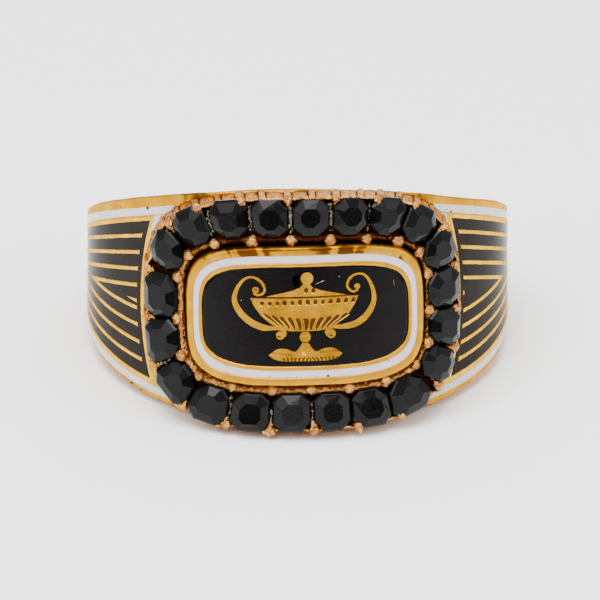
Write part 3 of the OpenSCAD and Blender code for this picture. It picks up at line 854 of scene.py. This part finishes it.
def make_claws():
    """Outer claws, the knobs between them, and the beads inside the row of stones."""
    claws = bmesh.new()
    for i in range(len(STONES)):
        place = math.radians(between(i))
        n = outward(place)
        top = 0.6 if math.sin(place) > 0.9 else 1.0
        wide = random.uniform(0.2, 0.26) * (0.5 + 0.5 * top)
        high = random.uniform(0.2, 0.26) * top
        s, z = oval(place, 0)
        shift = CLAW_ASIDE.get(i, 0)
        s, z = s - n.y * shift, z + n.x * shift

        def inside(depth, along):
            return s - n.x * depth - n.y * along, z - n.y * depth + n.x * along
        bead(claws, inside(0.13, 0), n, 11.2, (wide, high, 0.19), 0.7, i)
        bead(claws, inside(random.uniform(0.28, 0.4) * top, 0), n, 11.2, (0.6 * wide, 0.2, 0.13), 0.8, i + 40)
        bead(claws, inside(0.55 * top, 0.02), n, 11.12, TIP, 0.8, i + 50, SMALL)
        for foot in (-FOOT_ASIDE, FOOT_ASIDE):
            bead(claws, inside(0.06, foot), n, random.uniform(10.85, 11.0), FOOT, 0.8, i + 60, SMALL)
        if math.sin(place) < 0.9:
            knob = math.radians(STONES[i][0] + random.uniform(-1.5, 1.5))
            bead(claws, oval(knob, 0.07), outward(knob), 11.02, KNOB, 0.7, i + 20, SMALL)
        size = random.uniform(0.25, 0.3)
        s, z = bead_place(place)
        bead(claws, (s, z), n, 11.2, (size, size, 0.24), 0.4, i + 80)
        shift = random.uniform(-0.25, 0.25)
        bead(claws, (s - n.y * shift, z + n.x * shift), n, 11.08, COLLAR_BEAD, 0.6, i + 120, SMALL)
    # Painted shade: the nearer a bead sits to the finger, down in the collar, the darker it is.
    paint_stain_and_shade(claws, lambda p: 0.9 - (math.hypot(p.x, p.y) - 10.95) / 0.3)
    laid("claws_and_beads", claws, ROSE)


# Crust in the gap after a stone, from 0 to 1
CRUST_AFTER = {0: 0.7, 1: 1.0, 2: 1.0, 3: 0.9, 4: 0.3, 13: 0.25, 14: 0.35, 15: 0.6, 17: 0.3}
CRUST_GRAINS = 64
# Between two stones: room, more of it under crust, and how far one may outgrow its width
STONE_GAP = 0.02
CRUST_ROOM = 0.05
WIDEST = 1.36


def at_stone(i):
    """Turns a stone made round the z axis to its place: x along the row, z outwards."""
    bearing = math.radians(STONES[i][0])
    s, z = oval(bearing, ROW_INSET)
    n = outward(bearing)
    return (
        Matrix.Rotation(s / GIRDLE_R, 4, "Z")
        @ Matrix.Translation((0, 0, z))
        @ Matrix.Rotation(math.pi / 2, 4, "X")
        @ Matrix.Rotation(math.atan2(n.y, n.x) - math.pi / 2, 4, "Z")
    )


def side_at(i, before, up):
    """How far stone i reaches towards a neighbour, at a height across the row."""
    own = math.radians(STONES[i][0])
    other = math.radians(STONES[i - 1][0] + (360 if i == 0 else 0) if before else next_stone(i))
    here, there = Vector(oval(own, ROW_INSET)), Vector(oval(other, ROW_INSET))
    n = outward(own)
    along = Vector((-n.y, n.x)) if before else Vector((n.y, -n.x))
    middle, lean = (there - here) / 2, (n + outward(other)).normalized()
    reach = middle.dot(along) + (up - middle.dot(n)) * lean.dot(along) / lean.dot(n)
    crusted = CRUST_AFTER.get((i - 1) % len(STONES) if before else i, 0)
    return min(stone_width(i) * WIDEST / 2, reach - STONE_GAP - CRUST_ROOM * crusted)


def make_stone(i):
    """A cut stone: culet, girdle and table, no two alike."""
    maker = random.Random(100 + i)
    half_b = STONE_ACROSS / 2
    cut = [maker.uniform(0.42, 0.56) * half_b for _ in range(4)]
    girdle = []
    for before, up in ((False, -1), (False, 1), (True, 1), (True, -1)):
        c = cut[len(girdle) // 2]
        way = -1 if before else 1
        flat = (way * side_at(i, before, up * (half_b - c)), up * (half_b - c))
        end = (way * (side_at(i, before, up * half_b) - c), up * half_b)
        girdle += [flat, end] if before == (up < 0) else [end, flat]
    table = maker.uniform(0.46, 0.54)
    skews = [maker.uniform(-0.06, 0.06) for _ in girdle]
    shift = Vector((maker.uniform(-0.05, 0.05), maker.uniform(-0.05, 0.05)))
    tilt = Vector((maker.uniform(-0.04, 0.04), maker.uniform(-0.04, 0.04)))
    rings = [
        (CULET, GIRDLE_R - GIRDLE_T - PAVILION, False), (1.0, GIRDLE_R - GIRDLE_T, False),
        (1.0, GIRDLE_R - 0.02, False), (0.9, GIRDLE_R + 0.09, False), (table, GIRDLE_R + CROWN, True),
    ]
    bm = bmesh.new()
    loops = []
    for share, height, is_table in rings:
        made = bmesh.ops.create_circle(bm, cap_ends=False, segments=8, radius=1)["verts"]
        loops.append([e for v in made for e in v.link_edges])
        for v, (a, b), skew in zip(made, girdle, skews):
            x, y = a * share, b * share
            high = height
            if is_table:
                x, y = x - b * skew + shift.x, y + a * skew + shift.y
                high += tilt.x * x + tilt.y * y
            v.co = Vector((x, y, high))
    for lower, upper in zip(loops, loops[1:]):
        bmesh.ops.bridge_loops(bm, edges=list(set(lower)) + list(set(upper)))
    bmesh.ops.holes_fill(bm, edges=[e for e in bm.edges if e.is_boundary], sides=8)
    bmesh.ops.recalc_face_normals(bm, faces=bm.faces)
    sharp = [e for e in bm.edges if e.calc_face_angle(0) > 0.15]
    bmesh.ops.bevel(bm, geom=sharp, offset=0.012, segments=1, affect="EDGES", profile=0.5, material=-1)
    bmesh.ops.transform(bm, matrix=at_stone(i), verts=bm.verts)
    name = "stone_%02d" % (i + 1)
    piece = laid("black_" + name, bm, JET, smooth=False)
    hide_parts(name)


def make_crust():
    """Dried polish in the gaps between stones."""
    bm = bmesh.new()
    for i, amount in CRUST_AFTER.items():
        middle = math.radians(between(i))
        s, z = oval(middle, ROW_INSET)
        n = outward(middle)
        for k in range(int(CRUST_GRAINS * amount)):
            t = random.triangular(-0.72, 0.66, 0.1)
            off = random.gauss(0, 0.055)
            size = random.uniform(0.018, 0.055)
            place = (s + n.x * t - n.y * off, z + n.y * t + n.x * off)
            radius = random.uniform(11.1, 11.3)
            bead(bm, place, n, radius, (size, size * random.uniform(0.8, 2), size), 1.0, i + 7 * k, (8, 6))
    laid("crust_between_stones", bm, CRUST)


# Panel: cross sections of its bands, with inset and radius
TRAY_ROWS = [
    (2.69, 10.5), (2.28, 10.5), (2.275, 11.1), (2.28, 11.3), (2.285, 11.44), (2.3, 11.5), (2.335, 11.535),
    (2.39, 11.545), (2.5, 11.545), (2.6, 11.545), (2.64, 11.54), (2.67, 11.52), (2.69, 11.47), (2.69, 10.5),
]
WHITE_ROWS = [
    (3.05, 11.3), (2.65, 11.3), (2.65, 11.44), (2.66, 11.49), (2.69, 11.51), (2.75, 11.515), (2.94, 11.515),
    (3.01, 11.51), (3.05, 11.48), (3.05, 11.3),
]
GOLD_LINE_ROWS = [
    (3.235, 11.3), (3.015, 11.3), (3.015, 11.47), (3.025, 11.51), (3.05, 11.528), (3.09, 11.532),
    (3.16, 11.532), (3.2, 11.526), (3.225, 11.5), (3.235, 11.46), (3.235, 11.3),
]


def panel_band(name, rows, material, wobble, seed, stain_and_shade):
    """A closed band round the panel; the given function of angle, turn, share across and radius paints its
    stains.
    """
    bm = bmesh.new()
    layer = bm.verts.layers.float.new("stain_and_shade")
    for v in bmesh.ops.create_grid(bm, x_segments=420, y_segments=len(rows) - 1, size=0.5)["verts"]:
        a = 2 * math.pi * (v.co.x + 0.5)
        row = round((v.co.y + 0.5) * (len(rows) - 1))
        inset, radius = rows[row]
        turn = Vector((math.cos(a), math.sin(a), seed))
        error = wobble * noise.noise(turn * 6 + Vector((0, 0, 3 * inset)))
        error += 0.6 * wobble * noise.noise(turn * 2.2 + Vector((0, 4, 3 * inset)))
        error += 0.5 * wobble * noise.noise(turn * 17 + Vector((0, 0, 5 * inset)))
        v[layer] = stain_and_shade(a, turn, (inset - rows[1][0]) / (rows[0][0] - rows[1][0]), radius)
        v.co = on_panel(a, inset + error, radius)
    bmesh.ops.remove_doubles(bm, verts=bm.verts, dist=0.0005)
    return laid(name, bm, material)


def rim_stain(a, turn, across, radius):
    """Dark mottling along the rim's top and its outer edge, and a dark foot."""
    low = 1 if radius < 11.2 else 0
    patches = noise.noise(turn * 3.5 + Vector((0, 0, 2 * across))) + 0.7 * noise.noise(turn * 23)
    edge = (0.5 + noise.noise(turn * 13)) * max(1 - (1 - across) / 0.25, 0)
    ragged = 0.9 * max(-math.cos(a), 0) ** 2 * max(0.55 - across, 0) * (0.6 + 1.5 * noise.noise(turn * 31))
    return max(low, max(math.sin(a), 0) ** 2 * (0.3 + 1.2 * patches), 0.6 * edge, ragged)


def edge_stain(a, turn, across, radius):
    """Grime here and there along both edges."""
    return (0.4 + 1.2 * noise.noise(turn * 9 + Vector((0, 0, across)))) * abs(2 * across - 1) ** 6


def no_stain(a, turn, across, radius):
    return 0.0


def make_panel():
    tray = panel_band("panel_rim", TRAY_ROWS, YELLOW, 0.022, 1, rim_stain)
    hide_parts("panel_tray")
    panel_band("panel_gold_line", GOLD_LINE_ROWS, YELLOW, 0.022, 2, no_stain)
    white = panel_band("panel_white_line", WHITE_ROWS, WHITE, 0.02, 3, edge_stain)
    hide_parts("panel_white_enamel")
    bm = bmesh.new()
    sheet_of(bm, 160, 24, lambda u, v: on_panel(2 * math.pi * u, FIELD_INSET, PANEL_R, max(v, 0.001)))
    bmesh.ops.remove_doubles(bm, verts=bm.verts, dist=0.002)
    backed(bm)
    field = laid("panel_black_field", bm, PANEL_BLACK)
    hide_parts("panel_black_enamel")


def mark(bm, start, end, wide, radius, blunt):
    """A mark on the panel's face from start to end, widest at the share blunt of its length."""
    (s0, z0), (s1, z1) = start, end
    length = math.dist(start, end)

    def place(u, v):
        slope = (u - blunt) / (blunt if u < blunt else 1 - blunt)
        e = wide * (v - 0.5) * math.sqrt(max(1 - slope * slope, 0.0004))
        s = s0 + (s1 - s0) * u + (z1 - z0) / length * e
        z = z0 + (z1 - z0) * u - (s1 - s0) / length * e
        return on_head(s, z, radius + 0.01 * (1 - (2 * v - 1) ** 2))
    sheet_of(bm, 12, 4, place)


# Engraving of the urn, in millimetres from the panel's middle: holes under its lip,
# flutes of the bowl, which close in at their feet, and cuts along the foot and its leaves
HOLES = 13
HOLE_STEP = 0.366
FLUTES_ASIDE = 5
FLUTE_STEP = 0.4
FLUTE_FEET = 0.25
FLUTE_TOP = -0.06
FLUTE_FOOT = -0.66
FLUTE_SAG = 0.0085
MIDDLE = 0.07
FOOT_CUTS = 15
FOOT_STEP = 0.18
LEAF_CUTS = 7
LEAF_STEP = 0.14
GLINT = 0.05
ENGRAVING_RISE = 0.026
URN_RISE = 0.025
URN_SHIFT = 0.03


def make_engraving(top):
    """Brown marks over the urn's engraving, tarnish with painted shade in its hollows, most with a painted
    highlight beside it.
    """
    # The second sheet takes the painted highlights beside the hollows.
    hollows, edges = bmesh.new(), bmesh.new()
    for i in range(HOLES):
        s, z = -2.04 + HOLE_STEP * i, 0.62 + 0.014 * i
        worn = random.uniform(0.55, 0.8) if i < 3 or i == 8 else random.uniform(0.85, 1.1)
        mark(hollows, (s, z + 0.13 * worn), (s + 0.03, z - 0.12 * worn), 0.19 * worn, top, 0.45)
        mark(edges, (s - 0.09, z - 0.13), (s + 0.09, z - 0.15), GLINT, top, 0.5)
    for i in range(-FLUTES_ASIDE, FLUTES_ASIDE + 1):
        wide = 0.3 - 0.028 * abs(i) - (0.04 if i < 0 else 0)
        sag = FLUTE_SAG * i * i
        start = (MIDDLE + FLUTE_STEP * i, sag + FLUTE_TOP)
        end = (MIDDLE + FLUTE_FEET * i, sag + FLUTE_FOOT)
        mark(hollows, start, end, wide, top, 0.22)
        side = -0.11 if i <= 0 else 0.11
        mark(edges, (start[0] + side, start[1] - 0.06), (end[0] + side * 0.4, end[1] + 0.02), GLINT, top, 0.4)
    for i in range(FOOT_CUTS):
        s = -0.95 + FOOT_STEP * i
        z = -2.0 + 0.02 * max(i - 9, 0)
        mark(hollows, (s, z), (s + random.uniform(-0.02, 0.02), z - 0.17), 0.08, top, 0.4)
    for i in range(LEAF_CUTS):
        for s, z in ((-1.5 + LEAF_STEP * i, -1.72 - 0.012 * i), (0.75 + LEAF_STEP * i, -1.68 + 0.012 * i)):
            mark(hollows, (s, z), (s + 0.1, z - 0.1), 0.045, top, 0.4)
    # Piercings of the lid, the highlight of the foot, the line under the lip, the two
    # collars of the stem, and the curls of the handles
    for s in (0.08, 0.43):
        mark(hollows, (s, 1.41), (s + 0.02, 1.15), 0.2, top, 0.45)
        mark(edges, (s - 0.1, 1.14), (s + 0.1, 1.14), GLINT, top, 0.5)
    mark(edges, (-0.1, -1.75), (0.12, -1.85), 0.12, top, 0.5)
    mark(hollows, (-2.5, 0.86), (2.52, 1.0), 0.075, top, 0.5)
    for z in (-0.71, -1.24):
        mark(hollows, (-0.12, z), (0.18, z), 0.05, top, 0.5)
    for s, z in ((-1.2, -0.98), (1.28, -0.93), (-2.3, 1.26), (2.42, 1.32)):
        mark(hollows, (s - 0.08, z + 0.05), (s + 0.1, z - 0.03), 0.07, top, 0.4)
    for bm, name, material in ((hollows, "urn_hollows", HOLLOW), (edges, "urn_painted_highlights", PAINTED_HIGHLIGHT_GOLD)):
        paint_stain_and_shade(bm, lambda p: 0)
        backed(bm)
        laid(name, bm, material)


# Marks on the panel: a worn spot, scratches and specks on the black, then pits in the
# white and specks on the rim. Start and end from its middle, width, and colour.
PANEL_MARKS = [
    ((-0.36, 2.02), (-0.4, 1.4), 0.4, WORN), ((0.5, 1.56), (1.0, 1.77), 0.03, CRUST),
    ((1.64, 1.95), (1.68, 1.88), 0.07, CRUST), ((4.35, 1.6), (4.4, 1.3), 0.03, CRUST),
    ((1.08, -2.87), (1.2, -2.88), 0.12, BLACK), ((-1.65, -2.9), (-1.59, -2.92), 0.06, BLACK),
    ((-0.37, -2.9), (-0.31, -2.91), 0.06, BLACK), ((0.5, -2.87), (0.56, -2.88), 0.05, BLACK),
    ((4.08, -2.3), (4.14, -2.33), 0.07, BLACK), ((-2.3, 2.9), (-2.25, 2.92), 0.05, BLACK),
]
MARK_RISE = 0.02


def make_panel_marks():
    for i, (start, end, wide, material) in enumerate(PANEL_MARKS):
        bm = bmesh.new()
        mark(bm, start, end, wide, PANEL_R + MARK_RISE, 0.5)
        paint_stain_and_shade(bm, lambda p: 0)
        backed(bm)
        laid("panel_mark_%d" % (i + 1), bm, material)


def make_urn():
    """The urn's own solid, lifted clear of the black field, its flutes filled for the engraving."""
    bm = bmesh.new()
    bm.from_mesh(frame["nodes"]["urn"].data)
    bmesh.ops.transform(bm, matrix=(lay_down @ Matrix.Scale(MM, 4)).inverted(), verts=bm.verts)
    bmesh.ops.remove_doubles(bm, verts=bm.verts, dist=0.0005)
    top = max(math.hypot(v.co.x, v.co.y) for v in bm.verts)

    def urn_stain_and_shade(p):
        # Engraved floors: tarnish with painted shade. Elsewhere a brown cloud of stain on the bowl.
        if math.hypot(p.x, p.y) < PANEL_R - 0.03:
            return 0.9
        return 0.5 * math.exp(-(((p.x + 0.18) ** 2 + (p.z - 0.3) ** 2) / 0.1))
    paint_stain_and_shade(bm, urn_stain_and_shade)
    for v in bm.verts:
        r = math.hypot(v.co.x, v.co.y)
        if PANEL_R - 0.2 < r < top - 0.01 and -0.85 < v.co.z < 0.25:
            r = top
            v[bm.verts.layers.float["stain_and_shade"]] = 0
        if r > PANEL_R - 0.2:
            r += URN_RISE
        v.co.x += URN_SHIFT
        v.co.y = -math.sqrt(r * r - v.co.x**2)
    bmesh.ops.remove_doubles(bm, verts=bm.verts, dist=0.0005)
    piece = laid("engraved_urn", bm, URN_GOLD, smooth=False)
    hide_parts("urn")
    return top


make_hoop()
make_shoulder(-1, "left")
make_shoulder(1, "right")
make_pits()
make_setting()
make_claws()
for number in range(len(STONES)):
    make_stone(number)
make_crust()
make_panel()
urn_top = make_urn()
make_engraving(urn_top + ENGRAVING_RISE)
make_panel_marks()


# Floor and light
def make_floor():
    bm = bmesh.new()
    bmesh.ops.create_grid(bm, x_segments=1, y_segments=1, size=0.25)
    bmesh.ops.translate(bm, vec=(0, 0, cad_box[0][2]), verts=bm.verts)
    mesh = bpy.data.meshes.new("floor")
    bm.to_mesh(mesh)
    bm.free()
    floor = bpy.data.objects.new("floor", mesh)
    material, tree, shader = new_material("pale floor")
    clouds = put(tree, "ShaderNodeTexNoise", {"Vector": object_place(tree), "Scale": 3.0})
    tree.links.new(
        ramp(tree, clouds.outputs["Fac"], [(0.3, (0.95, 0.95, 0.95)), (0.7, (0.96, 0.96, 0.96))]),
        shader.inputs["Base Color"])
    shader.inputs["Roughness"].default_value = 0.9
    mesh.materials.append(material)
    bpy.context.scene.collection.objects.link(floor)


def make_light(name, place, size, watts):
    data = bpy.data.lights.new(name, "AREA")
    data.shape = "RECTANGLE"
    data.size, data.size_y = size
    data.energy = watts
    lamp = bpy.data.objects.new(name, data)
    lamp.location = place
    lamp.rotation_euler = (-Vector(place)).to_track_quat("-Z", "Y").to_euler()
    bpy.context.scene.collection.objects.link(lamp)


# Soft panes of the tent: direction, cosine of their half width, and added strength
LAMP_PANES = [((-0.6, -0.55, 0.58), 0.93, 3.5), ((0.8, -0.35, 0.5), 0.94, 3), ((0.1, 0.5, 0.86), 0.9, 2.5)]
PANE_FADE = 0.05
TENT = 1.1
TENT_GAP = 0.1


def make_world():
    """A bright tent, with a dark gap low down in front where the photographer stands."""
    world = bpy.data.worlds.new("studio")
    world.use_nodes = True
    tree = world.node_tree
    way = put(tree, "ShaderNodeTexCoord").outputs["Generated"]
    parts = put(tree, "ShaderNodeSeparateXYZ", {0: way})
    front = mapped(tree, parts.outputs["Y"], 0, -0.45, smooth=True)
    low = mapped(tree, parts.outputs["Z"], 0.45, 0.2, smooth=True)
    strength = mapped(tree, maths(tree, "MULTIPLY", front, low), 0, 1, TENT, TENT_GAP)
    for middle, reach, bright in LAMP_PANES:
        facing = vector_maths(tree, "DOT_PRODUCT", {0: way, 1: Vector(middle).normalized()}, "Value")
        pane = mapped(tree, facing, reach - PANE_FADE, reach + PANE_FADE, 0, bright, smooth=True)
        strength = maths(tree, "ADD", strength, pane)
    tree.links.new(strength, tree.nodes["Background"].inputs["Strength"])
    tree.nodes["Background"].inputs["Color"].default_value = (1, 1, 1, 1)
    bpy.context.scene.world = world


make_floor()
make_light("softbox above", (-0.05, -0.1, 0.4), (0.3, 0.3), 3.2)
make_world()
